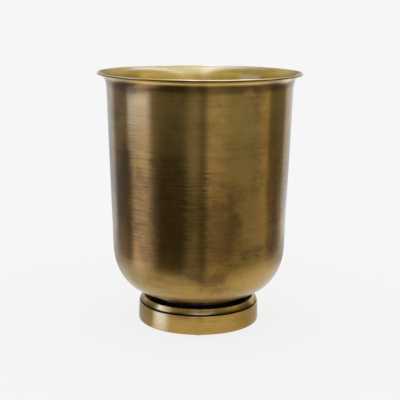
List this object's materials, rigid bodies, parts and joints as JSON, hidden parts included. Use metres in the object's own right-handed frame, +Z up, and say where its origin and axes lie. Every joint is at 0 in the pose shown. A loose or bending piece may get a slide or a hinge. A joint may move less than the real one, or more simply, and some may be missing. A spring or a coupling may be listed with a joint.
{
  "type": "garden urn",
  "caption": "Footed garden urn: spun antique-brass bowl with a flared, rolled rim, bolted through a black neck to a round banded foot; holds a plant or its pot.",
  "frame": {"origin": "on the floor under the middle of the foot, at the underside of the foot pads", "axes": "+Z up along the urn's axis of revolution; +X through the middle of the first foot pad"},
  "size_m": [0.24, 0.24, 0.2983],
  "materials": {
    "antique_brass": "antiqued, fine circumferential brushing, satin",
    "black_neck": "glossy black",
    "zinc_steel": "zinc plated",
    "rubber": "matte black"
  },
  "bodies": {
    "root": {"bowl": "antique_brass", "neck_spacer": "black_neck", "foot_cap": "antique_brass", "foot_band": "antique_brass", "head_seal": "rubber", "head_washer": "zinc_steel", "deck_washer": "zinc_steel", "lock_washer": "zinc_steel", "clamp_nut": "zinc_steel", "clamp_bolt": "zinc_steel", "foot_pad_1": "rubber", "foot_pad_2": "rubber", "foot_pad_3": "rubber", "foot_pad_4": "rubber"}
  },
  "joints": []
}
